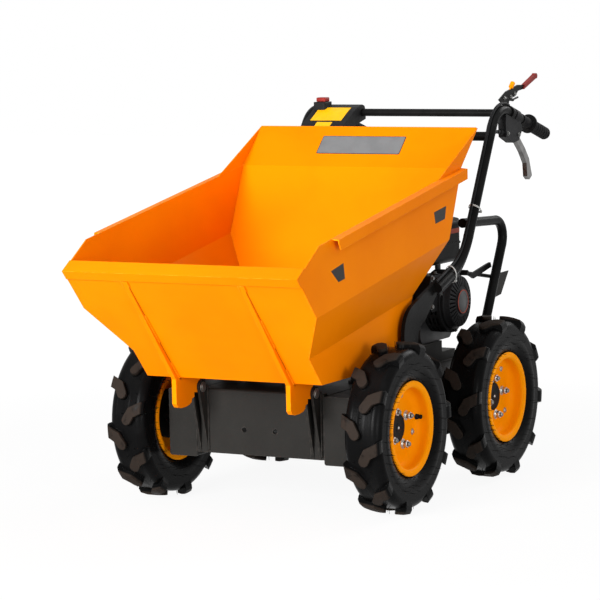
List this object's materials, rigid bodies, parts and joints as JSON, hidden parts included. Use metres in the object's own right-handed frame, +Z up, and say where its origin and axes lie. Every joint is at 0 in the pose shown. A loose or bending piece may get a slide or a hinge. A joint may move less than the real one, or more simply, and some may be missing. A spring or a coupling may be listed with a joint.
{
  "type": "walk-behind wheel dumper",
  "caption": "Walk-behind mini wheel dumper: folded sheet skip tipping forward on a chassis with lugged tyres, small engine, tube handles and hand controls.",
  "frame": {"origin": "middle of the machine's length and width on the ground", "axes": "+Z up, -Y is the skip's tipping end, +Y the operator's end, +X the side of the recoil starter"},
  "size_m": [0.75, 1.4908, 1.0212],
  "materials": {
    "orange_paint": "gloss",
    "tyre_rubber": "matt",
    "black_paint": "satin",
    "grey_paint": "satin",
    "tube_paint": "gloss",
    "black_rubber": "matt",
    "black_plastic": "satin",
    "cast_alloy": "satin",
    "engine_casting": "cast",
    "dark_steel": "dull",
    "red_plastic": "satin",
    "orange_plastic": "satin"
  },
  "bodies": {
    "chassis": {"drive_cases": "grey_paint", "front_plate": "grey_paint", "chassis_frame": "grey_paint", "pivot_brackets": "grey_paint", "pivot_pins": "dark_steel", "rest_pads": "black_rubber", "gearbox": "grey_paint", "engine_block": "engine_casting", "engine_shroud": "black_plastic", "recoil_starter": "black_plastic", "fuel_tank": "black_paint", "air_filter": "black_plastic", "muffler": "dark_steel", "handles": "tube_paint", "rear_guards": "tube_paint", "guard_plates": "grey_paint", "cross_tubes": "tube_paint", "grips": "black_rubber", "lever_housing": "black_plastic", "lever_blade": "cast_alloy", "throttle_bracket": "tube_paint", "red_controls": "red_plastic", "choke_knob": "orange_plastic", "control_cables": "black_plastic", "console": "black_plastic", "gear_lever": "dark_steel"},
    "skip": {"skip_floor": "orange_paint", "skip_front": "orange_paint", "skip_rear": "orange_paint", "skip_left": "orange_paint", "skip_right": "orange_paint", "front_lip": "orange_paint", "front_ribs": "orange_paint", "rim_hems": "orange_paint", "wing_plates": "orange_paint"},
    "wheel_fl": {"tyre_fl": "tyre_rubber", "rim_fl": "orange_paint", "hub_fl": "black_paint"},
    "wheel_fr": {"tyre_fr": "tyre_rubber", "rim_fr": "orange_paint", "hub_fr": "black_paint"},
    "wheel_rl": {"tyre_rl": "tyre_rubber", "rim_rl": "orange_paint", "hub_rl": "black_paint"},
    "wheel_rr": {"tyre_rr": "tyre_rubber", "rim_rr": "orange_paint", "hub_rr": "black_paint"}
  },
  "joints": [
    {"name": "wheel_fl_spin", "type": "hinge", "parent": "chassis", "child": "wheel_fl", "pos_m": [0.324, -0.27567, 0.2075], "axis": [1, 0, 0], "continuous": true},
    {"name": "wheel_fr_spin", "type": "hinge", "parent": "chassis", "child": "wheel_fr", "pos_m": [-0.324, -0.27567, 0.2075], "axis": [1, 0, 0], "continuous": true},
    {"name": "wheel_rl_spin", "type": "hinge", "parent": "chassis", "child": "wheel_rl", "pos_m": [0.324, 0.27633, 0.2075], "axis": [1, 0, 0], "continuous": true},
    {"name": "wheel_rr_spin", "type": "hinge", "parent": "chassis", "child": "wheel_rr", "pos_m": [-0.324, 0.27633, 0.2075], "axis": [1, 0, 0], "continuous": true},
    {"name": "skip_tip", "type": "hinge", "parent": "chassis", "child": "skip", "pos_m": [0, -0.39767, 0.3], "axis": [1, 0, 0], "range_deg": [0, 70]}
  ]
}
